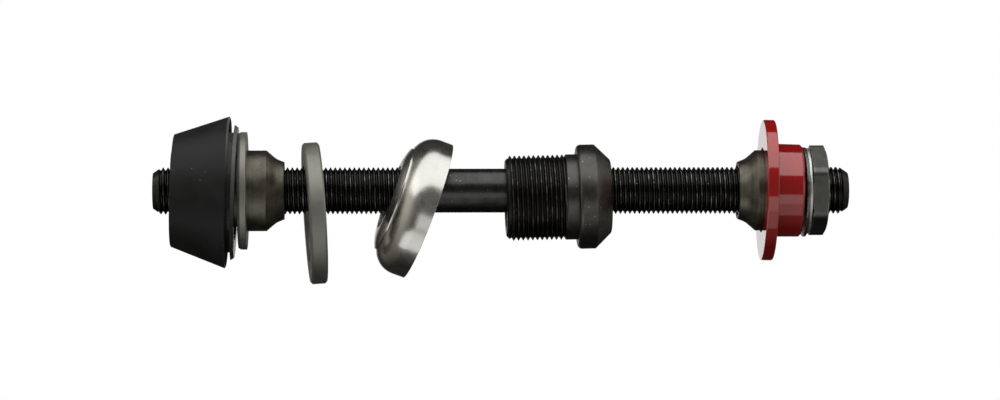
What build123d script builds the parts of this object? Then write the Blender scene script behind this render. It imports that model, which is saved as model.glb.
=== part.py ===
from build123d import *
import math
import os

# The axle set of a quick-release rear hub, in millimetres.
# The axle lies along X with its middle at the origin, and Z is up. The locked
# stacks sit at both ends, and the loose pieces hang on the axle between them.

# Hollow axle, M10 x 1, plain between its two threads
axle_length = 146.0
thread_crest_radius = 4.93
shank_radius = 4.62
shank_length = 41.4
thread_runout = 0.5
skewer_bore_radius = 2.6
axle_end_radius = 3.75
axle_end_taper = 1.7
mouth_chamfer = 0.35

# Clearances
thread_play = 0.05
contact_gap = 0.02
shield_grip_gap = 0.01

# How far the axle stands out of each locked stack
left_stub = 3.9
right_stub = 4.75

# Locknuts
hexagon_sides = 6
nut_across_flats = 17.0
nut_thickness = 3.51
nut_corner_rounding = 2.0
nut_face_radius = 8.4
nut_chamfer_angle = 20.0
nut_boss_radius = 7.9
nut_boss_height = 0.2
nut_turn = 24.75

# Washers under the locknuts
lock_washer_radius = 9.43
lock_washer_bore_radius = 5.3
lock_washer_thickness = 0.6
shim_radius = 9.05
shim_bore_radius = 5.08
shim_thickness = 0.6
washer_edge_rounding = 0.12

# Bearing cones, measured from the nose
cone_nose_radius = 6.03
cone_nose_angle = 21.5
cone_flank_angle = 41.0
cone_race_setback = 1.67
cone_race_radius = 3.8
cone_body_radius = 8.47
cone_edge_rounding = 0.3
cone_mouth_chamfer = 0.5
left_cone_length = 12.7
right_cone_length = 10.45
wrench_flat_width = 15.0
wrench_flat_length = 3.1

# Dust shield pressed on the left cone
shield_radius = 12.33
shield_thickness = 1.8
shield_bevel_height = 0.3
shield_bevel_length = 0.6
shield_rounding = 0.12

# Spacer between the left cone and the left lock washer
spacer_radius = 9.0
spacer_length = 6.7
spacer_chamfer = 0.3

# Moulded rubber boot over the left stack, measured from its small end and its bore
boot_setback = 0.1
boot_lean = 2.0
boot_sag = 0.16
boot_clearance = 0.17
boot_small_wall = 1.83
boot_small_rounding = 0.35
boot_rim_height = 6.0
boot_rim_land = 0.2
boot_rim_drop = 0.4
boot_skirt_length = 11.5
boot_skirt_wall = 1.5
boot_groove_width = 0.4
boot_neck_wall = 2.65
boot_neck_length = 1.15
boot_lip_height = 4.28
boot_lip_thickness = 0.75
boot_lip_slope = 0.5
boot_bead_start = 6.3
boot_bead_width = 1.2

# Steel spacer ring on the left thread, this part of the way from the cone to the cup
ring_place_ratio = 0.272
ring_radius = 14.86
ring_bore_radius = 9.78
ring_width = 3.4
ring_chamfer = 0.4
ring_lean = -3.5
ring_swing = 3.6

# Bearing cup hanging at the left end of the shank, measured from the foot of its crown
cup_overhang = 1.71
cup_radius = 14.92
cup_depth = 7.37
cup_lean = 20.3
cup_swing = 5.2
cup_shoulder_angle = 24.7
cup_shoulder_rounding = 5.0
cup_crown_base_radius = 11.22
cup_crown_step = 0.32
cup_crown_sphere_radius = 10.0
cup_crown_edge_rounding = 0.2
cup_hole_radius = 6.9
cup_hole_rounding = 0.25
cup_inner_radius = 12.9
cup_race_radius = 3.5
cup_web_inside = 0.3
cup_rim_chamfer = 0.3

# Hollow fixing bolt of the freewheel body, measured from its threaded end
bolt_start = 0.9
bolt_thread_radius = 8.95
bolt_thread_length = 12.7
bolt_lead_chamfer = 1.0
bolt_collar_radius = 8.98
bolt_collar_length = 2.25
bolt_head_radius = 10.97
bolt_head_rounding = 0.9
bolt_head_length = 3.85
bolt_taper_length = 3.26
bolt_bore_radius = 6.28
bolt_hex_width = 12.0
bolt_hex_depth = 9.0
bolt_hex_rounding = 0.3

# Red flanged collar over the right cone, measured from its flange
collar_lean = 1.0
collar_swing = -1.4
collar_rise = 0.07
collar_flange_height = 5.02
collar_flange_thickness = 2.4
collar_edge_rounding = 0.3
collar_root_rounding = 0.3
collar_wall = 0.87
collar_barrel_taper = 0.08
collar_end_chamfer = 0.45
collar_length = 8.25
collar_bore_radius = 5.2
collar_pocket_clearance = 0.48
collar_pocket_depth = 5.6


def outward(side, x, drop=0.0):
    """Section plane of a piece that lies square, its local x running out to one end."""
    return Plane(origin=(x, 0, -drop), x_dir=(side, 0, 0), z_dir=(0, -side, 0))


def leaning(x, z, lean, swing=0.0):
    """Section plane of a tilted piece: lean drops its +X end, swing turns it about Z."""
    along = Vector(1, 0, 0).rotate(Axis.Y, lean).rotate(Axis.Z, swing)
    facing = Vector(0, -1, 0).rotate(Axis.Z, swing)
    return Plane(origin=(x, 0, z), x_dir=along, z_dir=facing)


def turning_axis(section):
    """The line that a section on this plane is turned about."""
    return Axis(section.origin, section.x_dir)


def write(piece, name):
    piece.part.label = name
    export_step(piece.part, f"parts/{name}.step")


def hexagon_reach(across_flats, rounding=0.0):
    """From a hexagon's middle to its corners, less what a rounding takes off."""
    half_angle = math.pi / hexagon_sides
    return across_flats / 2 / math.cos(half_angle) - rounding * (1 / math.cos(half_angle) - 1)


def hanging_drop(bore_radius):
    """How far a piece on the thread hangs below the axle, by the top of its bore."""
    return bore_radius - thread_crest_radius - contact_gap


def locknut(side, outer_face):
    """Hexagon nut, bossed towards the washers and bevelled on its outer face."""
    corner_radius = hexagon_reach(nut_across_flats)
    chamfer_rise = (corner_radius - nut_face_radius) * math.tan(math.radians(nut_chamfer_angle))
    bore_radius = thread_crest_radius + thread_play
    section = outward(side, outer_face - side * nut_thickness)
    hexagon_plane = Plane(section.origin, x_dir=(0, -1, 0), z_dir=(side, 0, 0))
    with BuildPart() as nut:
        with BuildSketch(hexagon_plane):
            RegularPolygon(
                nut_across_flats / 2, hexagon_sides, major_radius=False, rotation=-side * nut_turn
            )
            fillet(vertices(), radius=nut_corner_rounding)
        extrude(amount=nut_thickness)
        with BuildSketch(section):
            with BuildLine():
                Polyline(
                    (0, bore_radius + mouth_chamfer),
                    (0, nut_boss_radius),
                    (nut_boss_height, nut_boss_radius),
                    (nut_boss_height, corner_radius),
                    (nut_thickness - chamfer_rise, corner_radius),
                    (nut_thickness, nut_face_radius),
                    (nut_thickness, bore_radius + mouth_chamfer),
                    (nut_thickness - mouth_chamfer, bore_radius),
                    (mouth_chamfer, bore_radius),
                    close=True,
                )
            make_face()
        revolve(axis=turning_axis(section), mode=Mode.INTERSECT)
    return nut


def washer(side, inner_face, thickness, radius, bore_radius):
    """Flat washer hanging by the top of its bore on the crests of the thread."""
    section = outward(side, inner_face, hanging_drop(bore_radius))
    with BuildPart() as ring:
        with BuildSketch(section):
            with Locations((thickness / 2, (radius + bore_radius) / 2)):
                Rectangle(thickness, radius - bore_radius)
        revolve(axis=turning_axis(section))
        fillet(
            ring.edges().filter_by(GeomType.CIRCLE).group_by(SortBy.RADIUS)[-1],
            radius=washer_edge_rounding,
        )
    return ring


def cone(side, nose, length, flats):
    """Screwed bearing cone: its race looks to the axle's middle, its back to one end."""
    nose_angle = math.radians(cone_nose_angle)
    flank_angle = math.radians(cone_flank_angle)
    race_corner_radius = cone_nose_radius + cone_race_setback * math.tan(nose_angle)
    flank_height = cone_body_radius - race_corner_radius
    flank_end = cone_race_setback + flank_height / math.tan(flank_angle)
    shorter_slope = min(cone_race_setback / math.cos(nose_angle), flank_height / math.sin(flank_angle))
    race_room = shorter_slope / 2 / math.tan((flank_angle - nose_angle) / 2)
    bore_radius = thread_crest_radius + thread_play
    section = outward(side, nose)
    with BuildPart() as bearing_cone:
        with BuildSketch(section) as profile:
            with BuildLine():
                Polyline(
                    (mouth_chamfer, bore_radius),
                    (0, bore_radius + mouth_chamfer),
                    (0, cone_nose_radius),
                    (cone_race_setback, race_corner_radius),
                    (flank_end, cone_body_radius),
                    (length, cone_body_radius),
                    (length, bore_radius + cone_mouth_chamfer),
                    (length - cone_mouth_chamfer, bore_radius),
                    close=True,
                )
            make_face()
            corners = profile.vertices()
            nose_edge = corners.sort_by_distance((0, cone_nose_radius))[0]
            race_bottom = corners.sort_by_distance((cone_race_setback, race_corner_radius))[0]
            flank_edge = corners.sort_by_distance((flank_end, cone_body_radius))[0]
            back_edge = corners.sort_by_distance((length, cone_body_radius))[0]
            fillet(race_bottom, radius=min(cone_race_radius, race_room))
            fillet([nose_edge, flank_edge, back_edge], radius=cone_edge_rounding)
        revolve(axis=turning_axis(section))
        if flats:
            blank_width = 3 * cone_body_radius
            with BuildSketch(Plane(section.origin, x_dir=(0, 1, 0), z_dir=(side, 0, 0)).offset(length)):
                Rectangle(blank_width, blank_width)
                Rectangle(blank_width, wrench_flat_width, mode=Mode.SUBTRACT)
            extrude(amount=-wrench_flat_length, mode=Mode.SUBTRACT)
    return bearing_cone


os.makedirs("parts", exist_ok=True)

# The stack positions along the axle, from each end in
left_end = -axle_length / 2
right_end = axle_length / 2
left_nut_face = left_end + left_stub
left_washer_face = left_nut_face + nut_thickness + contact_gap
left_spacer_face = left_washer_face + lock_washer_thickness + contact_gap
left_cone_back = left_spacer_face + spacer_length + contact_gap
left_cone_nose = left_cone_back + left_cone_length
shield_face = left_cone_back + wrench_flat_length
right_nut_face = right_end - right_stub
right_shim_face = right_nut_face - nut_thickness - contact_gap - shim_thickness
right_washer_face = right_shim_face - contact_gap - lock_washer_thickness
collar_pocket_radius = cone_body_radius + collar_pocket_clearance
collar_barrel_radius = collar_pocket_radius + collar_wall
collar_barrel_end_radius = collar_barrel_radius - collar_barrel_taper
collar_flange_radius = collar_barrel_radius + collar_flange_height
collar_tip = math.radians(math.hypot(collar_lean, collar_swing))
collar_end_gap = collar_barrel_end_radius * math.sin(collar_tip) + contact_gap
collar_face = right_washer_face - collar_end_gap - collar_length
right_cone_back = collar_face + collar_pocket_depth - collar_end_gap
right_cone_nose = right_cone_back - right_cone_length

# Axle: a turned tube, stepped down to the shank between its threads
with BuildPart() as axle:
    with BuildSketch(Plane.XZ):
        with BuildLine():
            Polyline(
                (0, skewer_bore_radius),
                (0, shank_radius),
                (shank_length / 2, shank_radius),
                (shank_length / 2 + thread_runout, thread_crest_radius),
                (right_end - axle_end_taper, thread_crest_radius),
                (right_end, axle_end_radius),
                (right_end, skewer_bore_radius + mouth_chamfer),
                (right_end - mouth_chamfer, skewer_bore_radius),
                close=True,
            )
        make_face()
        mirror(about=Plane.YZ)
    revolve(axis=Axis.X)
write(axle, "axle")

# Locknuts and washers of both stacks
write(locknut(-1, left_nut_face), "left_locknut")
write(locknut(1, right_nut_face), "right_locknut")
lock_washer_sizes = (lock_washer_thickness, lock_washer_radius, lock_washer_bore_radius)
write(washer(-1, left_washer_face + lock_washer_thickness, *lock_washer_sizes), "left_lock_washer")
write(washer(1, right_washer_face, *lock_washer_sizes), "right_lock_washer")
write(washer(1, right_shim_face, shim_thickness, shim_radius, shim_bore_radius), "right_shim_washer")

# Bearing cones
write(cone(-1, left_cone_nose, left_cone_length, flats=True), "left_cone")
write(cone(1, right_cone_nose, right_cone_length, flats=False), "right_cone")

# Spacer of the left stack
spacer_section = outward(-1, left_cone_back - contact_gap)
spacer_bore_radius = thread_crest_radius + thread_play
with BuildPart() as left_spacer:
    with BuildSketch(spacer_section):
        with Locations((spacer_length / 2, (spacer_radius + spacer_bore_radius) / 2)):
            Rectangle(spacer_length, spacer_radius - spacer_bore_radius)
        chamfer(vertices(), length=spacer_chamfer)
    revolve(axis=turning_axis(spacer_section))
write(left_spacer, "left_spacer")

# Dust shield, bevelled towards the boot
shield_section = outward(1, shield_face)
shield_bore_radius = cone_body_radius + shield_grip_gap
with BuildPart() as dust_shield:
    with BuildSketch(shield_section) as shield_profile:
        with BuildLine():
            Polyline(
                (0, shield_bore_radius),
                (0, shield_radius - shield_bevel_height),
                (shield_bevel_length, shield_radius),
                (shield_thickness, shield_radius),
                (shield_thickness, shield_bore_radius),
                close=True,
            )
        make_face()
        fillet(
            shield_profile.vertices().sort_by_distance((shield_thickness, shield_radius))[0],
            radius=shield_rounding,
        )
    revolve(axis=turning_axis(shield_section))
write(dust_shield, "left_dust_shield")

# Rubber boot: a flared skirt and a second lip moulded on one sleeve, which
# grips the spacer by an inner bead and has sagged and tipped on it
boot_contents = (
    hexagon_reach(nut_across_flats, nut_corner_rounding),
    lock_washer_radius + hanging_drop(lock_washer_bore_radius),
    spacer_radius,
    cone_body_radius,
)
boot_bore_radius = max(boot_contents) + boot_clearance
boot_small_radius = boot_bore_radius + boot_small_wall
boot_neck_radius = boot_bore_radius + boot_neck_wall
boot_lip_radius = boot_bore_radius + boot_lip_height
boot_rim_radius = boot_bore_radius + boot_rim_height
boot_bead_middle = boot_bead_start + boot_bead_width / 2
boot_tip = math.radians(boot_lean)
boot_origin_x = left_nut_face + boot_setback
boot_origin_z = boot_bead_middle * math.sin(boot_tip) - boot_sag
boot_section = leaning(boot_origin_x, boot_origin_z, boot_lean)
boot_flare = (boot_rim_radius - boot_small_radius) / boot_skirt_length
boot_wall_rise = boot_skirt_wall * math.hypot(1, boot_flare)
boot_groove_top = boot_neck_radius + boot_groove_width
boot_groove_end = (boot_groove_top + boot_wall_rise - boot_small_radius) / boot_flare
boot_lip_start = boot_skirt_length + boot_neck_length
boot_length = boot_lip_start + boot_lip_thickness
boot_bead_radius = spacer_radius + boot_sag + contact_gap + boot_bead_width * math.sin(boot_tip) / 2
with BuildPart() as seal_boot:
    with BuildSketch(boot_section) as boot_profile:
        with BuildLine():
            Polyline(
                (0, boot_bore_radius),
                (0, boot_small_radius),
                (boot_skirt_length, boot_rim_radius),
                (boot_skirt_length + boot_rim_land, boot_rim_radius - boot_rim_drop),
                (boot_groove_end, boot_groove_top),
                (boot_groove_end, boot_neck_radius),
                (boot_lip_start, boot_neck_radius),
                (boot_lip_start, boot_lip_radius),
                (boot_length, boot_lip_radius - boot_lip_slope),
                (boot_length, boot_bore_radius),
                (boot_bead_start + boot_bead_width, boot_bore_radius),
                (boot_bead_start + boot_bead_width, boot_bead_radius),
                (boot_bead_start, boot_bead_radius),
                (boot_bead_start, boot_bore_radius),
                close=True,
            )
        make_face()
        fillet(
            boot_profile.vertices().sort_by_distance((0, boot_small_radius))[0],
            radius=boot_small_rounding,
        )
    revolve(axis=turning_axis(boot_section))
write(seal_boot, "left_seal_boot")

# Spacer ring: the edge of its bore rests on the crests of the thread
cup_foot = -shank_length / 2 - cup_overhang
ring_middle = left_cone_nose + ring_place_ratio * (cup_foot - left_cone_nose)
ring_tip = math.radians(abs(ring_lean))
ring_reach = ring_bore_radius * math.cos(ring_tip) - ring_width / 2 * math.sin(ring_tip)
ring_section = leaning(
    ring_middle, thread_crest_radius + contact_gap - ring_reach, ring_lean, ring_swing
)
with BuildPart() as spacer_ring:
    with BuildSketch(ring_section):
        with Locations((0, (ring_radius + ring_bore_radius) / 2)):
            Rectangle(ring_width, ring_radius - ring_bore_radius)
        chamfer(vertices(), length=ring_chamfer)
    revolve(axis=turning_axis(ring_section))
write(spacer_ring, "spacer_ring")

# Bearing cup: a turned shell with a ball race in its corner and a crowned web.
# The inner edge of its hole rests on the shank, and its weight tips it
cup_tip = math.radians(cup_lean)
cup_foot_height = (
    shank_radius
    + contact_gap
    - cup_hole_radius * math.cos(cup_tip)
    + cup_web_inside * math.sin(cup_tip)
)
cup_section = leaning(cup_foot, cup_foot_height, cup_lean, cup_swing)
cup_shoulder_slope = math.tan(math.radians(cup_shoulder_angle))
cup_shoulder_corner = (cup_radius - cup_crown_base_radius) * cup_shoulder_slope
cup_crown_angle = math.radians(cup_shoulder_angle)
cup_crown_centre = cup_crown_sphere_radius * math.cos(cup_crown_angle) - cup_crown_step
cup_crown_axis = cup_crown_base_radius - cup_crown_sphere_radius * math.sin(cup_crown_angle)
cup_crown_top = cup_crown_centre - math.sqrt(
    cup_crown_sphere_radius**2 - (cup_hole_radius - cup_crown_axis) ** 2
)
cup_race_start = cup_web_inside + cup_race_radius
with BuildPart() as bearing_cup:
    with BuildSketch(cup_section) as cup_profile:
        with BuildLine():
            RadiusArc(
                (cup_crown_top, cup_hole_radius),
                (-cup_crown_step, cup_crown_base_radius),
                cup_crown_sphere_radius,
            )
            Polyline(
                (-cup_crown_step, cup_crown_base_radius),
                (0, cup_crown_base_radius),
                (cup_shoulder_corner, cup_radius),
                (cup_depth, cup_radius),
                (cup_depth, cup_inner_radius),
                (cup_race_start, cup_inner_radius),
            )
            RadiusArc(
                (cup_race_start, cup_inner_radius),
                (cup_web_inside, cup_inner_radius - cup_race_radius),
                cup_race_radius,
            )
            Polyline(
                (cup_web_inside, cup_inner_radius - cup_race_radius),
                (cup_web_inside, cup_hole_radius),
                (cup_crown_top, cup_hole_radius),
            )
        make_face()
        corners = cup_profile.vertices()
        shoulder = corners.sort_by_distance((cup_shoulder_corner, cup_radius))[0]
        crown_edge = corners.sort_by_distance((-cup_crown_step, cup_crown_base_radius))[0]
        hole_edge = corners.sort_by_distance((cup_crown_top, cup_hole_radius))[0]
        rim_edges = corners.group_by(Axis.X)[-1]
        fillet(shoulder, radius=cup_shoulder_rounding)
        fillet(crown_edge, radius=cup_crown_edge_rounding)
        fillet(hole_edge, radius=cup_hole_rounding)
        chamfer(rim_edges, length=cup_rim_chamfer)
    revolve(axis=turning_axis(cup_section))
write(bearing_cup, "bearing_cup")

# Fixing bolt: its round bore rests on the shank at the threaded end, and two
# flats of its hexagon socket on the thread's crests at the head
bolt_length = bolt_thread_length + bolt_collar_length + bolt_head_length + bolt_taper_length
bolt_end_radius = bolt_head_radius - bolt_taper_length
bolt_foot_drop = bolt_bore_radius - shank_radius - contact_gap
bolt_hex_half_angle = math.pi / hexagon_sides
bolt_head_drop = (
    bolt_hex_width / 2 - thread_crest_radius - contact_gap
) / math.cos(bolt_hex_half_angle)
bolt_rest = shank_length / 2 + thread_runout - bolt_start
bolt_rise = math.asin((bolt_foot_drop - bolt_head_drop) / bolt_rest)
bolt_section = leaning(bolt_start, -bolt_foot_drop, -math.degrees(bolt_rise))
bolt_end_plane = Plane(
    bolt_section.origin + bolt_section.x_dir * bolt_length,
    x_dir=(0, 1, 0),
    z_dir=bolt_section.x_dir,
)
bolt_collar_start = bolt_thread_length
bolt_head_start = bolt_collar_start + bolt_collar_length
bolt_taper_start = bolt_head_start + bolt_head_length
with BuildPart() as fixing_bolt:
    with BuildSketch(bolt_section) as bolt_profile:
        with BuildLine():
            Polyline(
                (0, bolt_bore_radius),
                (0, bolt_thread_radius - bolt_lead_chamfer),
                (bolt_lead_chamfer, bolt_thread_radius),
                (bolt_collar_start, bolt_thread_radius),
                (bolt_collar_start, bolt_collar_radius),
                (bolt_head_start, bolt_collar_radius),
                (bolt_head_start, bolt_head_radius),
                (bolt_taper_start, bolt_head_radius),
                (bolt_length, bolt_end_radius),
                (bolt_length, 0),
                (bolt_length - bolt_hex_depth, 0),
                (bolt_length - bolt_hex_depth, bolt_bore_radius),
                close=True,
            )
        make_face()
        fillet(
            bolt_profile.vertices().sort_by_distance((bolt_head_start, bolt_head_radius))[0],
            radius=bolt_head_rounding,
        )
    revolve(axis=turning_axis(bolt_section))
    with BuildSketch(bolt_end_plane):
        RegularPolygon(
            bolt_hex_width / 2,
            hexagon_sides,
            major_radius=False,
            rotation=math.degrees(bolt_hex_half_angle),
        )
        fillet(vertices(), radius=bolt_hex_rounding)
    extrude(amount=-bolt_hex_depth, mode=Mode.SUBTRACT)
write(fixing_bolt, "fixing_bolt")

# Red collar: its pocket takes the right cone, and its barrel reaches the washers
collar_section = leaning(collar_face, collar_rise, collar_lean, collar_swing)
with BuildPart() as red_collar:
    with BuildSketch(collar_section) as collar_profile:
        with BuildLine():
            Polyline(
                (0, collar_pocket_radius),
                (0, collar_flange_radius),
                (collar_flange_thickness, collar_flange_radius),
                (collar_flange_thickness, collar_barrel_radius),
                (collar_length - collar_end_chamfer, collar_barrel_end_radius),
                (collar_length, collar_barrel_end_radius - collar_end_chamfer),
                (collar_length, collar_bore_radius),
                (collar_pocket_depth, collar_bore_radius),
                (collar_pocket_depth, collar_pocket_radius),
                close=True,
            )
        make_face()
        corners = collar_profile.vertices()
        flange_edges = corners.group_by(Axis.Y)[-1]
        flange_root = corners.sort_by_distance((collar_flange_thickness, collar_barrel_radius))[0]
        pocket_mouth = corners.sort_by_distance((0, collar_pocket_radius))[0]
        fillet(flange_edges, radius=collar_edge_rounding)
        fillet(flange_root, radius=collar_root_rounding)
        chamfer(pocket_mouth, length=collar_edge_rounding)
    revolve(axis=turning_axis(collar_section))
write(red_collar, "right_red_collar")
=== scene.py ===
import math

import bpy
from mathutils import Matrix, Vector


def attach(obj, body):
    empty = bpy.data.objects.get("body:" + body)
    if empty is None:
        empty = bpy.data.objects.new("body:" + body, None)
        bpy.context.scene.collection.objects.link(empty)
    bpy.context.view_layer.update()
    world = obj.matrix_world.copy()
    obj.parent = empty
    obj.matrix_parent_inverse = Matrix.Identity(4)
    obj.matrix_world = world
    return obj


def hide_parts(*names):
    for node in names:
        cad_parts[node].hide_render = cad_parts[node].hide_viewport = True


# The looks of the hub axle set: real threads on the axle and the bolt, a finish on every piece,
# a plain studio and the photograph's camera. Lengths are in millimetres, and MM turns them into
# metres. Only those of the lamps and the floor are in metres from the start.

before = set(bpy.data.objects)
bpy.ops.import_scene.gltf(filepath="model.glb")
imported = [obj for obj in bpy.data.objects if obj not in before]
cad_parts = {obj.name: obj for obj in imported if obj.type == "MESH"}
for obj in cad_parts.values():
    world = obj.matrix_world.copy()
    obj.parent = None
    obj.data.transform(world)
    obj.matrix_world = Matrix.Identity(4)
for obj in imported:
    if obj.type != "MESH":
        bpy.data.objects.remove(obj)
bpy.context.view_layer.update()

MM = 0.001
ALONG_AXLE = (1.0, 0.0, 0.0)

# Thread: its profile from a crest to the root beside it, as (share of the pitch, depth in
# pitches), and the whole pitch, which mirrors it
PITCH = 1.0
HALF_PROFILE = (
    (0.035, 0.0),
    (0.07, 0.012),
    (0.095, 0.045),
    (0.36, 0.5),
    (0.42, 0.575),
    (0.47, 0.607),
)
PROFILE = HALF_PROFILE + tuple((1 - share, depth) for share, depth in reversed(HALF_PROFILE))

# Points of a thread within SNAP of its ends join them, and only edges over CREASE are sharp
SNAP = 0.01
CREASE = math.radians(38)

# Axle: each phase is the place of a crest on the +Y side
AXLE_HALF = 73.0
AXLE_CREST = 4.93
AXLE_SHANK = 4.62
SHANK_HALF = 20.7
SHANK_GUARD = 0.1
AXLE_RUNOUT = 0.5
AXLE_END = 3.75
AXLE_TAPER = 1.7
AXLE_BORE = 2.6
AXLE_MOUTH = 0.35
AXLE_SIDES = 60
LEFT_PHASE = -0.13
RIGHT_PHASE = 0.33

# Fixing bolt, along its own axis from its threaded end
BOLT_START = 0.9
BOLT_CREST = 8.95
BOLT_LEAD = 1.0
BOLT_THREAD = 12.7
BOLT_RUNOUT = 0.3
BOLT_PHASE = -0.23
BOLT_COLLAR = 8.98
BOLT_COLLAR_LENGTH = 2.25
BOLT_HEAD = 10.97
BOLT_HEAD_LENGTH = 3.85
BOLT_HEAD_ROUNDING = 0.9
BOLT_HEAD_STEPS = 8
BOLT_TAPER = 3.26
BOLT_LENGTH = BOLT_THREAD + BOLT_COLLAR_LENGTH + BOLT_HEAD_LENGTH + BOLT_TAPER
BOLT_BORE = 6.28
BOLT_EDGE = 0.12
BOLT_GAP = 0.02
BOLT_DROP = BOLT_BORE - AXLE_SHANK - BOLT_GAP
BOLT_SIDES = 120
SOCKET_WIDTH = 12.0
SOCKET_DEPTH = 9.0
SOCKET_ROUNDING = 0.3
SOCKET_SIDES = 6

# Cup: the foot of its crown, and how its axis drops and turns
CUP_FOOT = (-22.41, 0.0, -1.73)
CUP_LEAN = math.radians(20.3)
CUP_SWING = math.radians(5.2)

# Finishes: how fine the marks of each kind are, as a scale per metre, and how high they stand
BLOTCHES = 450.0
GRAINS = 5000.0
FINE_TURNS = 7000.0
CONE_TURNS = 1800.0
RUBBED_PLACES = 420.0
WORN_PLACES = 900.0
OIL_DOTS = 1500.0
RUBBER_PATCHES = 260.0
RUBBER_DOTS = 800.0
DYE_PATCHES = 400.0
FLOOR_PATCHES = 3.0
STEEL_RELIEF = 0.01
RUBBER_RELIEF = 0.02

# What a noise mostly lies between, how much rings and grain count in a steel's tone beside its
# blotches, what their sum lies between, and how far the roughness strays
NOISE_RANGE = (0.3, 0.7)
MARK_SHARE = 0.4
TONE_RANGE = (0.6, 1.2)
ROUGHNESS_SPREAD = 0.04

# Thread's tone: the length that it fades in over, and how far its rubbed tips reach below a crest
THREAD_FADE = 0.05
TIP_DEPTH = 0.1

# Wear: the noise that it grows between, and the least share of it everywhere
RUBBED_RANGE = (0.5, 0.68)
RUBBED_LEAST = 0.05
WORN_RANGE = (0.35, 0.6)
WORN_LEAST = 0.1

# Dots: how much of a dot is its full core, how sharply the cells that have one are chosen, and
# the tone and size, as a share of a cell, of the bright ones that oil and dust leave
DOT_CORE = 0.5
CHOICE_FADE = 0.02
OIL_TONE = (0.5, 0.5, 0.48)
OIL_DOT_SIZE = 0.2

# Boot: where its neck and second lip begin along the axle, how its dust and painted highlight fade
# in there, the heights that they grow between, lighter towards the top, and their least share, and
# how a rim faces along the axle
LIP_START = -57.4
LIP_FADE = 0.4
DUST_AND_HIGHLIGHT_HEIGHTS = (-4.0, 10.0)
DUST_AND_HIGHLIGHT_LEAST = 0.15
RIM_FACING = (0.9, 0.98)

# Edges: the radii that the shading rounds them by, and how far a bevel turns the normal, as a
# cosine, where their wear begins and where it is full
WIDE_EDGE = 0.3
STEEL_EDGE = 0.15
NARROW_EDGE = 0.12
EDGE_COSINES = (0.995, 0.95)
BEVEL_SAMPLES = 6

# Sockets of a node that mixes two colours: its share, the colours and the result
MIX_INPUTS = (0, 6, 7)
MIX_RESULT = 2

# Camera: its place in millimetres, its turn in degrees and its lens
CAMERA_PLACE = (-28.23, -720.0, -1.975)
CAMERA_TURN = (90.0, 0.067, -2.2224)
CAMERA_SENSOR = 36.0
CAMERA_LENS = 123.336
CAMERA_CLIP = (0.05, 20.0)

# Lamps: long edges as (y, z), ends as x, and how bright they look beside white. All but the top
# one lie low between the object and the camera
TOP_EDGES = ((-0.67, 0.5), (0.16, 0.5))
FRONT_EDGES = ((-0.12, -0.245), (-0.3, -0.2))
FAR_EDGES = ((-0.3, -0.2), (-0.7, -0.13))
FAR_CARD_EDGES = ((-0.28, -0.205), (-0.64, -0.115))
LEFT_CARD_EDGES = ((-0.08, -0.255), (-0.28, -0.205))
LAMP_HALF = 0.75
FRONT_BOX_LEFT = 0.02
FAR_BOX_LEFT = 0.03
FAR_CARD_LEFT = -0.05
LEFT_CARD_ENDS = (-0.3, -0.02)
TOP_LIGHT = 1.15
FRONT_LIGHT = 0.3
FAR_LIGHT = 0.5
CARD_LIGHT = 0.85

# World, by the X, Y and Z of a direction, Y being away from the camera: where each part fades in,
# and how bright it is
BEHIND_FADE = (0.965, 0.99)
SIDE_FADE = (0.45, 0.85)
SIDE_GLOW = 0.42
SIDE_HEIGHTS = (-0.5, 0.2)
LOW_SIDE_SHARE = 0.25
FRONT_FADE = (0.3, -0.2)
FRONT_GLOW = (0.02, 0.08)
SKY_HEIGHTS = (-0.6, 0.6)
SKY_GLOW = (0.1, 0.8)
WHITE = (1.0, 1.0, 1.0)
WARM_WHITE = (1.0, 0.95, 0.84)

# Floor
FLOOR_HALF = 3.0
FLOOR_DEPTH = -0.28


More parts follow.
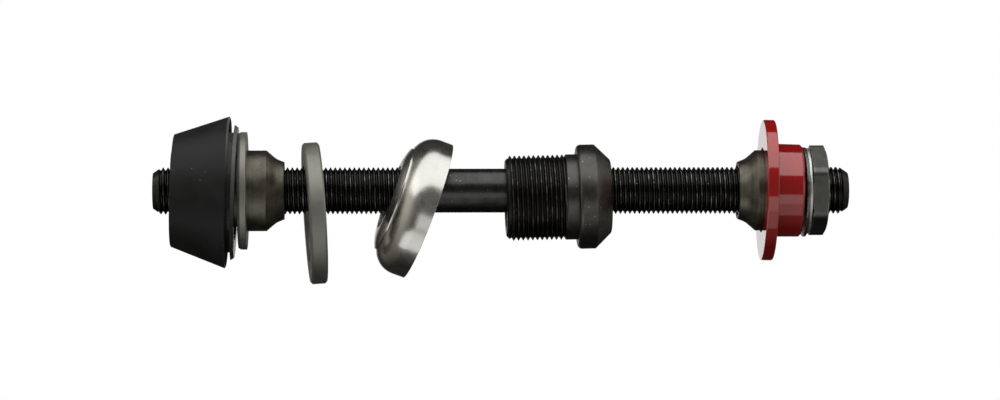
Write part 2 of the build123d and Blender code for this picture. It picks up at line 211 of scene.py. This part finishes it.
class Turning:
    """A closed mesh turned about X, ring by ring, its outline taken with the metal inside."""

    def __init__(self, sides):
        self.sides = sides
        self.points = []
        self.faces = []
        self.first = None
        self.last = None
        self.x = None

    def angle(self, side):
        return 2 * math.pi * side / self.sides

    def point(self, x, radius, side):
        angle = self.angle(side)
        self.points.append(Vector((x, radius * math.cos(angle), radius * math.sin(angle))))
        return len(self.points) - 1

    def face(self, *corners):
        """Adds a face, without the corners that fall together."""
        kept = [corner for i, corner in enumerate(corners) if corner != corners[i - 1]]
        if len(kept) > 2:
            self.faces.append(kept)

    def bridge(self, start, end):
        for side in range(self.sides):
            after = (side + 1) % self.sides
            self.face(start[side], start[after], end[after], end[side])

    def circle(self, x, radius):
        """New points at x; radius is a number or a function of the angle."""
        reach = radius if callable(radius) else lambda angle: radius
        return [self.point(x, reach(self.angle(side)), side) for side in range(self.sides)]

    def ring(self, x, radius):
        new = self.circle(x, radius)
        if self.last:
            self.bridge(self.last, new)
        else:
            self.first = new
        self.last = new
        self.x = x

    def rings(self, *outline):
        for x, radius in outline:
            self.ring(x, radius)

    def arc(self, centre_x, centre_radius, radius, start, end, steps):
        """A rounded edge, from one angle to another in degrees, 0 along +X and 90 outwards."""
        for step in range(steps + 1):
            turn = math.radians(start + (end - start) * step / steps)
            self.ring(centre_x + radius * math.cos(turn), centre_radius + radius * math.sin(turn))

    def thread(self, end, end_radius, reach, phase):
        """A right-handed thread up to x = end; reach(x, depth) is its radius there.

        phase is where one of its crests passes the +Y side.
        """
        start, begun = self.x, self.last
        stopped = self.circle(end, end_radius)
        rows = {}

        def corner(row, side):
            if side == self.sides:
                row, side = row + len(PROFILE), 0
            if (row, side) not in rows:
                turns, step = divmod(row, len(PROFILE))
                share, depth = PROFILE[step]
                x = (turns + share + side / self.sides) * PITCH + phase
                if x <= start + SNAP:
                    rows[row, side] = begun[side]
                elif x >= end - SNAP:
                    rows[row, side] = stopped[side]
                else:
                    rows[row, side] = self.point(x, reach(x, depth * PITCH), side)
            return rows[row, side]

        low_row = (math.floor(start / PITCH) - 1) * len(PROFILE)
        high_row = (math.ceil(end / PITCH) + 1) * len(PROFILE)
        for side in range(self.sides):
            for row in range(low_row, high_row):
                self.face(
                    corner(row, side),
                    corner(row, side + 1),
                    corner(row + 1, side + 1),
                    corner(row + 1, side),
                )
        self.last = stopped
        self.x = end

    def close(self):
        self.bridge(self.last, self.first)

    def piece(self, name, place=Matrix.Identity(4)):
        """The finished mesh as an object at the origin, its place in its points."""
        mesh = bpy.data.meshes.new(name)
        mesh.from_pydata([(place @ point) * MM for point in self.points], [], self.faces)
        mesh.shade_smooth()
        mesh.set_sharp_from_angle(angle=CREASE)
        piece = bpy.data.objects.new(name, mesh)
        bpy.context.scene.collection.objects.link(piece)
        return piece


def clamp(value):
    """A number held between 0 and 1."""
    return max(0.0, min(1.0, value))


def axle_reach(x, depth):
    """The axle's radius: its thread, cut by the end bevel and faded out at the shank."""
    fade = clamp((abs(x) - SHANK_HALF) / AXLE_RUNOUT)
    threaded = AXLE_SHANK + (AXLE_CREST - depth - AXLE_SHANK) * fade
    bevel = AXLE_END + (AXLE_HALF - abs(x)) * (AXLE_CREST - AXLE_END) / AXLE_TAPER
    return min(threaded, bevel)


def make_axle():
    """A hollow axle; guard rings beside the threads keep the shank's shading straight."""
    turning = Turning(AXLE_SIDES)
    turning.rings(
        (-AXLE_HALF + AXLE_MOUTH, AXLE_BORE),
        (-AXLE_HALF, AXLE_BORE + AXLE_MOUTH),
        (-AXLE_HALF, AXLE_END),
    )
    turning.thread(-SHANK_HALF, AXLE_SHANK, axle_reach, LEFT_PHASE)
    turning.rings(
        (-SHANK_HALF + SHANK_GUARD, AXLE_SHANK),
        (SHANK_HALF - SHANK_GUARD, AXLE_SHANK),
        (SHANK_HALF, AXLE_SHANK),
    )
    turning.thread(AXLE_HALF, AXLE_END, axle_reach, RIGHT_PHASE)
    turning.rings((AXLE_HALF, AXLE_BORE + AXLE_MOUTH), (AXLE_HALF - AXLE_MOUTH, AXLE_BORE))
    turning.close()
    return turning.piece("threaded_axle")


def bolt_reach(x, depth):
    """The bolt's radius: its thread, cut by the lead bevel and faded out at the collar."""
    fade = clamp((BOLT_THREAD - x) / BOLT_RUNOUT)
    return min(BOLT_CREST - depth * fade, BOLT_CREST - BOLT_LEAD + x)


def socket_reach(angle):
    """The radius of the rounded hexagon socket, a flat on each side and a corner up."""
    half = SOCKET_WIDTH / 2
    sector = 2 * math.pi / SOCKET_SIDES
    off_flat = abs((angle + sector / 2) % sector - sector / 2)
    centre = half - SOCKET_ROUNDING
    tangent = math.atan(centre * math.tan(sector / 2) / half)
    if off_flat < tangent:
        return half / math.cos(off_flat)
    off_corner = sector / 2 - off_flat
    corner = centre / math.cos(sector / 2)
    rounded = math.sqrt(SOCKET_ROUNDING**2 - (corner * math.sin(off_corner)) ** 2)
    return corner * math.cos(off_corner) + rounded


def bolt_place():
    """The bolt hangs on the shank by its bore's end, and on the right thread by its socket."""
    socket_drop = (SOCKET_WIDTH / 2 - AXLE_CREST - BOLT_GAP) / math.cos(math.pi / SOCKET_SIDES)
    slope = math.asin((BOLT_DROP - socket_drop) / (SHANK_HALF + AXLE_RUNOUT - BOLT_START))
    return Matrix.Translation((BOLT_START, 0, -BOLT_DROP)) @ Matrix.Rotation(-slope, 4, "Y")


def make_bolt():
    """A hollow bolt: thread, collar, rounded head, taper and a hexagon socket in its end."""
    collar_end = BOLT_THREAD + BOLT_COLLAR_LENGTH
    head_end = collar_end + BOLT_HEAD_LENGTH
    end_radius = BOLT_HEAD - BOLT_TAPER
    round_centre = BOLT_HEAD - BOLT_HEAD_ROUNDING
    round_end = collar_end + BOLT_HEAD_ROUNDING
    turning = Turning(BOLT_SIDES)
    turning.rings((0, BOLT_BORE), (0, BOLT_CREST - BOLT_LEAD))
    turning.thread(BOLT_THREAD, BOLT_CREST, bolt_reach, BOLT_PHASE)
    turning.rings(
        (BOLT_THREAD, BOLT_COLLAR),
        (collar_end, BOLT_COLLAR),
        (collar_end, round_centre),
    )
    turning.arc(round_end, round_centre, BOLT_HEAD_ROUNDING, 180, 90, BOLT_HEAD_STEPS)
    turning.rings(
        (head_end - BOLT_EDGE, BOLT_HEAD),
        (head_end + BOLT_EDGE / 2, BOLT_HEAD - BOLT_EDGE),
        (BOLT_LENGTH - BOLT_EDGE, end_radius + BOLT_EDGE),
        (BOLT_LENGTH, end_radius - BOLT_EDGE),
        (BOLT_LENGTH, socket_reach),
        (BOLT_LENGTH - SOCKET_DEPTH, socket_reach),
        (BOLT_LENGTH - SOCKET_DEPTH, BOLT_BORE),
    )
    turning.close()
    return turning.piece("threaded_bolt", bolt_place())


class Nodes:
    """Short names for the making of a node tree."""

    def __init__(self, tree):
        self.tree = tree

    def add(self, kind, **settings):
        node = self.tree.nodes.new(kind)
        for key, value in settings.items():
            setattr(node, key, value)
        return node

    def link(self, source, target):
        self.tree.links.new(source, target)

    def feed(self, socket, value):
        """Gives a socket a number, a colour or another node's output."""
        if isinstance(value, (int, float)):
            socket.default_value = value
        elif isinstance(value, tuple):
            socket.default_value = (*value, 1.0)
        else:
            self.link(value, socket)

    def parts(self, vector):
        """The X, Y and Z outputs of a vector."""
        node = self.add("ShaderNodeSeparateXYZ")
        self.link(vector, node.inputs[0])
        return node.outputs

    def between(self, source, low, high, to_low, to_high):
        """Turns low to high into to_low to to_high, level beyond them."""
        node = self.add("ShaderNodeMapRange")
        node.inputs["From Min"].default_value = low
        node.inputs["From Max"].default_value = high
        node.inputs["To Min"].default_value = to_low
        node.inputs["To Max"].default_value = to_high
        self.link(source, node.inputs["Value"])
        return node.outputs["Result"]

    def rise(self, source, start, full):
        """0 at start and before it, 1 at full and past it."""
        return self.between(source, start, full, 0.0, 1.0)

    def math(self, operation, *values):
        node = self.add("ShaderNodeMath", operation=operation)
        for socket, value in zip(node.inputs, values):
            self.feed(socket, value)
        return node.outputs["Value"]

    def mix(self, share, first, second):
        node = self.add("ShaderNodeMix", data_type="RGBA")
        for index, value in zip(MIX_INPUTS, (share, first, second)):
            self.feed(node.inputs[index], value)
        return node.outputs[MIX_RESULT]


class Finish(Nodes):
    """A material under construction: a Principled shader and the nodes that feed it."""

    def __init__(self, name, centre=(0, 0, 0), along=ALONG_AXLE):
        self.material = bpy.data.materials.new(name)
        self.material.use_nodes = True
        super().__init__(self.material.node_tree)
        self.shader = self.tree.nodes["Principled BSDF"]
        self.place = self.add("ShaderNodeTexCoord").outputs["Object"]
        self.reach, self.radius = self.turned(centre, along)

    def turned(self, centre, along):
        """Places along the axis of a turned piece and out from it, in metres."""
        offset = self.add("ShaderNodeVectorMath", operation="SUBTRACT")
        self.link(self.place, offset.inputs[0])
        offset.inputs[1].default_value = centre
        dot = self.add("ShaderNodeVectorMath", operation="DOT_PRODUCT")
        self.link(offset.outputs[0], dot.inputs[0])
        dot.inputs[1].default_value = along
        cross = self.add("ShaderNodeVectorMath", operation="CROSS_PRODUCT")
        self.link(offset.outputs[0], cross.inputs[0])
        cross.inputs[1].default_value = along
        length = self.add("ShaderNodeVectorMath", operation="LENGTH")
        self.link(cross.outputs[0], length.inputs[0])
        return dot.outputs["Value"], length.outputs["Value"]

    def set(self, **inputs):
        """Sets the shader's own sockets, an underscore standing for a space in a name."""
        for key, value in inputs.items():
            self.shader.inputs[key.replace("_", " ")].default_value = value

    def colour(self, output):
        self.link(output, self.shader.inputs["Base Color"])

    def roughness(self, output):
        self.link(output, self.shader.inputs["Roughness"])

    def noise(self, scale, detail=3.0, roughness=0.55, vector=None):
        node = self.add("ShaderNodeTexNoise")
        node.inputs["Scale"].default_value = scale
        node.inputs["Detail"].default_value = detail
        node.inputs["Roughness"].default_value = roughness
        self.link(vector or self.place, node.inputs["Vector"])
        return node.outputs["Fac"]

    def lathe(self, scale):
        """Noise in fine rings, as a lathe leaves them."""
        both = self.add("ShaderNodeCombineXYZ")
        self.link(self.reach, both.inputs[0])
        self.link(self.radius, both.inputs[1])
        return self.noise(scale, detail=2.0, vector=both.outputs[0])

    def specks(self, scale, size, rarity):
        """1 on small scattered dots, 0 elsewhere; rarity from 0, all cells, to 1, none."""
        cells = self.add("ShaderNodeTexVoronoi")
        cells.inputs["Scale"].default_value = scale
        self.link(self.place, cells.inputs["Vector"])
        dot = self.rise(cells.outputs["Distance"], size, size * DOT_CORE)
        chosen = self.rise(cells.outputs["Color"], rarity, rarity + CHOICE_FADE)
        return self.math("MULTIPLY", dot, chosen)

    def bevel(self, radius):
        """The normal with the edges rounded by a radius in millimetres."""
        rounded = self.add("ShaderNodeBevel", samples=BEVEL_SAMPLES)
        rounded.inputs["Radius"].default_value = radius * MM
        return rounded.outputs["Normal"]

    def edges(self, radius):
        """1 along the piece's edges, 0 on its faces, from how far a bevel turns the normal."""
        dot = self.add("ShaderNodeVectorMath", operation="DOT_PRODUCT")
        self.link(self.bevel(radius), dot.inputs[0])
        self.link(self.add("ShaderNodeNewGeometry").outputs["Normal"], dot.inputs[1])
        return self.rise(dot.outputs["Value"], *EDGE_COSINES)

    def bump(self, *layers, edge=0.0):
        """Adds layers of (height, strength, distance in millimetres), and edges rounded by edge."""
        normal = self.bevel(edge) if edge else None
        for height, strength, distance in layers:
            node = self.add("ShaderNodeBump")
            node.inputs["Strength"].default_value = strength
            node.inputs["Distance"].default_value = distance * MM
            self.link(height, node.inputs["Height"])
            if normal:
                self.link(normal, node.inputs["Normal"])
            normal = node.outputs["Normal"]
        self.link(normal, self.shader.inputs["Normal"])

    def brushed(self, amount, direction):
        """Stretches the highlights along one direction, across the marks of the polishing."""
        self.set(Anisotropic=amount)
        tangent = self.add("ShaderNodeCombineXYZ")
        for socket, value in zip(tangent.inputs, direction):
            socket.default_value = value
        self.link(tangent.outputs[0], self.shader.inputs["Tangent"])


class Steel(Finish):
    """Steel between two tones, with lathe rings, a fine grain and blotchy gloss."""

    def __init__(
        self,
        name,
        dark,
        light,
        rough,
        rings=0.25,
        grain=0.2,
        turns=FINE_TURNS,
        edge=STEEL_EDGE,
        **axis,
    ):
        super().__init__(name, **axis)
        self.set(Metallic=1.0)
        patches = self.noise(BLOTCHES, detail=4.0)
        fine = self.noise(GRAINS, detail=2.0)
        lathe = self.lathe(turns)
        marks = self.math("MULTIPLY_ADD", lathe, MARK_SHARE, patches)
        marks = self.math("MULTIPLY_ADD", fine, MARK_SHARE, marks)
        self.body = self.mix(self.rise(marks, *TONE_RANGE), dark, light)
        self.colour(self.body)
        smoother, rougher = rough - ROUGHNESS_SPREAD, rough + ROUGHNESS_SPREAD
        self.roughness(self.between(patches, *NOISE_RANGE, smoother, rougher))
        self.bump((lathe, rings, STEEL_RELIEF), (fine, grain, STEEL_RELIEF), edge=edge)

    def paint(self, share, tone):
        """Lays a tone over what is there, by its share from 0 to 1."""
        self.body = self.mix(share, self.body, tone)
        self.colour(self.body)

    def threaded(self, plain, crest, tone, worn):
        """A tone for the thread, which lies outside the plain part, and one for its rubbed tips."""
        start, end = plain
        half = (end - start) / 2
        off = self.math("ABSOLUTE", self.math("SUBTRACT", self.reach, (start + half) * MM))
        thread = self.rise(off, half * MM, (half + THREAD_FADE) * MM)
        tips = self.rise(self.radius, (crest - TIP_DEPTH) * MM, crest * MM)
        noise = self.noise(RUBBED_PLACES, detail=5.0)
        places = self.between(noise, *RUBBED_RANGE, RUBBED_LEAST, 1.0)
        rubbed = self.math("MULTIPLY", thread, self.math("MULTIPLY", tips, places))
        self.paint(thread, tone)
        self.paint(rubbed, worn)

    def worn_edges(self, edge, tone):
        """A tone for the bare metal along the edges, here more and there less."""
        places = self.between(self.noise(WORN_PLACES), *WORN_RANGE, WORN_LEAST, 1.0)
        self.paint(self.math("MULTIPLY", self.edges(edge), places), tone)

    def dotted(self, rarity):
        self.paint(self.specks(OIL_DOTS, OIL_DOT_SIZE, rarity), OIL_TONE)


def black_axle_steel():
    steel = Steel(
        "black_axle_steel",
        dark=(0.06, 0.06, 0.057),
        light=(0.1, 0.1, 0.096),
        rough=0.28,
        edge=0.0,
    )
    steel.threaded(
        plain=(-SHANK_HALF, SHANK_HALF),
        crest=AXLE_CREST,
        tone=(0.048, 0.048, 0.046),
        worn=(0.32, 0.32, 0.305),
    )
    steel.dotted(rarity=0.76)
    return steel


def dark_bolt_steel():
    place = bolt_place()
    steel = Steel(
        "dark_bolt_steel",
        dark=(0.085, 0.083, 0.076),
        light=(0.13, 0.127, 0.117),
        rough=0.34,
        centre=place.translation * MM,
        along=place.to_3x3() @ Vector(ALONG_AXLE),
    )
    steel.threaded(
        plain=(BOLT_THREAD, BOLT_LENGTH),
        crest=BOLT_CREST,
        tone=(0.042, 0.041, 0.038),
        worn=(0.22, 0.22, 0.21),
    )
    steel.dotted(rarity=0.7)
    return steel


def black_nut_steel():
    steel = Steel(
        "black_nut_steel",
        dark=(0.115, 0.117, 0.106),
        light=(0.178, 0.181, 0.164),
        rough=0.34,
        edge=WIDE_EDGE,
    )
    steel.worn_edges(WIDE_EDGE, tone=(0.5, 0.5, 0.46))
    return steel


def ground_cone_steel():
    return Steel(
        "ground_cone_steel",
        dark=(0.08, 0.075, 0.058),
        light=(0.19, 0.181, 0.147),
        rough=0.38,
        rings=0.5,
        turns=CONE_TURNS,
        edge=WIDE_EDGE,
    )


def satin_steel():
    return Steel("satin_steel", dark=(0.28, 0.279, 0.25), light=(0.35, 0.348, 0.314), rough=0.52)


def polished_steel():
    turn = Matrix.Rotation(CUP_SWING, 3, "Z") @ Matrix.Rotation(CUP_LEAN, 3, "Y")
    along = turn @ Vector(ALONG_AXLE)
    steel = Steel(
        "polished_steel",
        dark=(0.65, 0.645, 0.605),
        light=(0.75, 0.745, 0.705),
        rough=0.25,
        rings=0.03,
        grain=0.03,
        centre=Vector(CUP_FOOT) * MM,
        along=along,
    )
    steel.brushed(amount=0.6, direction=along)
    return steel


def zinc_steel():
    return Steel("zinc_steel", dark=(0.72, 0.73, 0.74), light=(0.8, 0.81, 0.82), rough=0.4)


def black_rubber():
    """Matt moulded rubber, smoother on its rims and on the lip beside the shield, which has dust and
    a painted highlight that grows lighter towards the top.
    """
    rubber = Finish("black_rubber")
    rubber.set(Specular_IOR_Level=0.26)
    dark, light, speck = (0.007, 0.007, 0.0072), (0.011, 0.011, 0.0112), (0.09, 0.09, 0.087)
    # Pale tones for the lip: dust together with a painted highlight
    thin_dust_and_highlight, thick_dust_and_highlight = (0.03, 0.03, 0.028), (0.17, 0.17, 0.16)
    smoother, rougher, polish = 0.4, 0.52, 0.2

    patches = rubber.noise(RUBBER_PATCHES, detail=5.0)
    fine = rubber.noise(GRAINS, detail=3.0)
    facing = rubber.parts(rubber.add("ShaderNodeNewGeometry").outputs["Normal"])["X"]
    rim = rubber.rise(facing, *RIM_FACING)
    lip = rubber.rise(rubber.reach, LIP_START * MM, (LIP_START + LIP_FADE) * MM)
    low, high = [height * MM for height in DUST_AND_HIGHLIGHT_HEIGHTS]
    # The lip's dust and painted highlight grow lighter towards the top, as if lit from above
    dust_and_highlight_height = rubber.between(rubber.parts(rubber.place)["Z"], low, high, DUST_AND_HIGHLIGHT_LEAST, 1.0)

    body = rubber.mix(rubber.rise(patches, *NOISE_RANGE), dark, light)
    dust_and_highlight = rubber.mix(fine, thin_dust_and_highlight, thick_dust_and_highlight)
    # Paints the dust and the painted highlight onto the lip
    body = rubber.mix(rubber.math("MULTIPLY", lip, dust_and_highlight_height), body, dust_and_highlight)
    rubber.colour(rubber.mix(rubber.specks(RUBBER_DOTS, size=0.14, rarity=0.8), body, speck))
    matt = rubber.between(patches, *NOISE_RANGE, smoother, rougher)
    smooth = rubber.math("MULTIPLY", rubber.math("MAXIMUM", rim, lip), polish)
    rubber.roughness(rubber.math("SUBTRACT", matt, smooth))
    rubber.bump((fine, 0.25, RUBBER_RELIEF), edge=NARROW_EDGE)
    return rubber


def red_anodised():
    """Dyed oxide: a clear glossy layer over a satin red metal."""
    red = Finish("red_anodised")
    red.set(Metallic=0.35, Specular_IOR_Level=0.0, Coat_Weight=1.0, Coat_Roughness=0.09, Coat_IOR=2.0)
    dark, light = (0.28, 0.0012, 0.0024), (0.34, 0.0016, 0.003)
    smoother, rougher = 0.4, 0.48
    patches = red.rise(red.noise(DYE_PATCHES, detail=4.0), *NOISE_RANGE)
    red.colour(red.mix(patches, dark, light))
    fine = red.noise(FINE_TURNS, detail=2.0)
    red.roughness(red.between(fine, *NOISE_RANGE, smoother, rougher))
    red.bump((red.lathe(FINE_TURNS), 0.06, STEEL_RELIEF), edge=NARROW_EDGE)
    return red


def pale_floor():
    floor = Finish("pale_floor")
    dark, light = (0.86, 0.86, 0.86), (0.9, 0.9, 0.9)
    floor.colour(floor.mix(floor.noise(FLOOR_PATCHES), dark, light))
    floor.set(Roughness=0.7)
    return floor


def dress(piece, finish):
    piece.data.materials.clear()
    piece.data.materials.append(finish.material)


def make_camera():
    """The photograph's long lens, level, a little left of square and rolled by a hair."""
    camera = bpy.data.objects.new("camera", bpy.data.cameras.new("camera"))
    camera.data.sensor_width = CAMERA_SENSOR
    camera.data.lens = CAMERA_LENS
    camera.data.clip_start, camera.data.clip_end = CAMERA_CLIP
    camera.location = Vector(CAMERA_PLACE) * MM
    camera.rotation_euler = [math.radians(turn) for turn in CAMERA_TURN]
    bpy.context.scene.collection.objects.link(camera)
    bpy.context.scene.camera = camera


def softbox(name, edges, left, right, radiance):
    """A lamp of even brightness, out of the camera's sight, from x = left to right.

    edges are its two long edges as (y, z). Seen from the collar's end of the axle, its light
    falls to the right of the way from the first to the second.
    """
    (near_y, near_z), (far_y, far_z) = edges
    width = right - left
    depth = math.hypot(far_y - near_y, far_z - near_z)
    lamp = bpy.data.lights.new(name, "AREA")
    lamp.shape = "RECTANGLE"
    lamp.size = width
    lamp.size_y = depth
    lamp.energy = radiance * math.pi * width * depth
    box = bpy.data.objects.new(name, lamp)
    box.location = ((left + right) / 2, (near_y + far_y) / 2, (near_z + far_z) / 2)
    box.rotation_euler = (math.atan2(far_z - near_z, far_y - near_y), 0.0, 0.0)
    box.visible_camera = False
    bpy.context.scene.collection.objects.link(box)


def make_lamps():
    """One wide lamp overhead, and low ones in front, brighter on the left than on the right."""
    softbox("top_box", TOP_EDGES, -LAMP_HALF, LAMP_HALF, TOP_LIGHT)
    softbox("front_box", FRONT_EDGES, FRONT_BOX_LEFT, LAMP_HALF, FRONT_LIGHT)
    softbox("far_box", FAR_EDGES, FAR_BOX_LEFT, LAMP_HALF, FAR_LIGHT)
    softbox("far_card", FAR_CARD_EDGES, FAR_CARD_LEFT, FAR_BOX_LEFT, CARD_LIGHT)
    softbox("left_card", LEFT_CARD_EDGES, *LEFT_CARD_ENDS, CARD_LIGHT)


def make_world():
    """White for the camera, a dim warm room with a white back for mirrors, and else a grey sky."""
    world = bpy.data.worlds.new("studio")
    bpy.context.scene.world = world
    world.use_nodes = True
    nodes = Nodes(world.node_tree)
    nodes.tree.nodes.clear()
    path = nodes.add("ShaderNodeLightPath").outputs
    across, away, up = nodes.parts(nodes.add("ShaderNodeTexCoord").outputs["Generated"])

    behind = nodes.rise(away, *BEHIND_FADE)
    sides = nodes.between(nodes.math("ABSOLUTE", across), *SIDE_FADE, 0.0, SIDE_GLOW)
    sides = nodes.math("MULTIPLY", sides, nodes.between(up, *SIDE_HEIGHTS, LOW_SIDE_SHARE, 1.0))
    front = nodes.between(away, *FRONT_FADE, *FRONT_GLOW)
    room = nodes.math("MAXIMUM", behind, nodes.math("ADD", sides, front))
    sky = nodes.between(up, *SKY_HEIGHTS, *SKY_GLOW)

    mirrored = nodes.math("MAXIMUM", path["Is Glossy Ray"], path["Is Transmission Ray"])
    warm = nodes.math("MULTIPLY", mirrored, nodes.math("SUBTRACT", 1.0, behind))
    tint = nodes.mix(warm, WHITE, WARM_WHITE)
    glow = nodes.mix(mirrored, sky, room)
    background = nodes.add("ShaderNodeBackground")
    nodes.link(nodes.mix(path["Is Camera Ray"], tint, WHITE), background.inputs["Color"])
    nodes.link(nodes.math("MAXIMUM", path["Is Camera Ray"], glow), background.inputs["Strength"])
    output = nodes.add("ShaderNodeOutputWorld")
    nodes.link(background.outputs[0], output.inputs["Surface"])


def make_floor():
    """A pale floor far below the photograph's view; it takes the shadow and lights nothing."""
    mesh = bpy.data.meshes.new("floor")
    signs = ((-1, -1), (1, -1), (1, 1), (-1, 1))
    corners = [(x * FLOOR_HALF, y * FLOOR_HALF, FLOOR_DEPTH) for x, y in signs]
    mesh.from_pydata(corners, [], [(0, 1, 2, 3)])
    floor = bpy.data.objects.new("floor", mesh)
    floor.visible_glossy = False
    floor.visible_diffuse = False
    bpy.context.scene.collection.objects.link(floor)
    dress(floor, pale_floor())


def place_threads():
    """The axle and the bolt with their threads, in place of their plain solids."""
    threads = (
        (make_axle(), black_axle_steel(), "axle", "black_axle_steel"),
        (make_bolt(), dark_bolt_steel(), "fixing_bolt", "dark_bolt_steel"),
    )
    for piece, finish, node, slot in threads:
        dress(piece, finish)
        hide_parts(node)
        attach(piece, "root")


def dress_nodes():
    """All other pieces, which are the CAD solids themselves, by their finish."""
    nut_names = ("left_locknut", "right_locknut", "left_lock_washer", "right_lock_washer")
    finishes = (
        (black_nut_steel(), (*nut_names, "left_spacer")),
        (ground_cone_steel(), ("left_cone", "right_cone")),
        (satin_steel(), ("left_dust_shield", "spacer_ring")),
        (polished_steel(), ("bearing_cup",)),
        (zinc_steel(), ("right_shim_washer",)),
        (black_rubber(), ("left_seal_boot",)),
        (red_anodised(), ("right_red_collar",)),
    )
    for finish, names in finishes:
        for name in names:
            dress(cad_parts[name], finish)


def main():
    bpy.context.scene.view_settings.view_transform = "Standard"
    make_camera()
    make_world()
    make_floor()
    make_lamps()
    place_threads()
    dress_nodes()


main()
